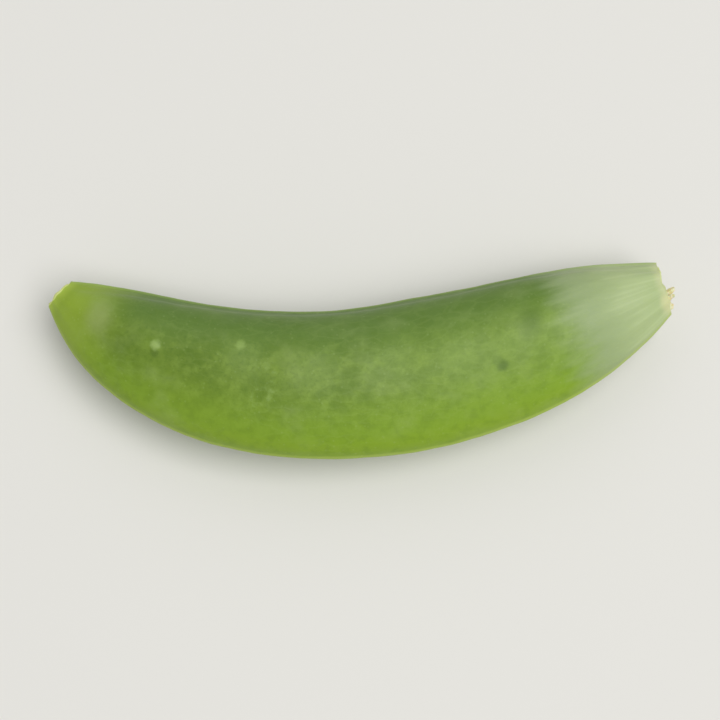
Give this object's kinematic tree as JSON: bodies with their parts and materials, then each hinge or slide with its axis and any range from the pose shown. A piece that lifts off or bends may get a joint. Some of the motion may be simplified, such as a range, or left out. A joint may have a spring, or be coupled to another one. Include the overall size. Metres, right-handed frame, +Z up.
{
  "type": "snap pea pod",
  "caption": "Trimmed snap pea pod lying on its side: a plump green pod with a bowed back, a hollow seam edge and soft swellings over the seeds.",
  "frame": {"origin": "under the middle of the pod, on the surface it rests on", "axes": "+X from the flower tip to the stem end, +Y from the bowed back to the hollow seam edge, +Z up"},
  "size_m": [0.0656, 0.021, 0.0118],
  "materials": {
    "pod_skin": "satin"
  },
  "bodies": {
    "root": {"pod": "pod_skin"}
  },
  "joints": []
}
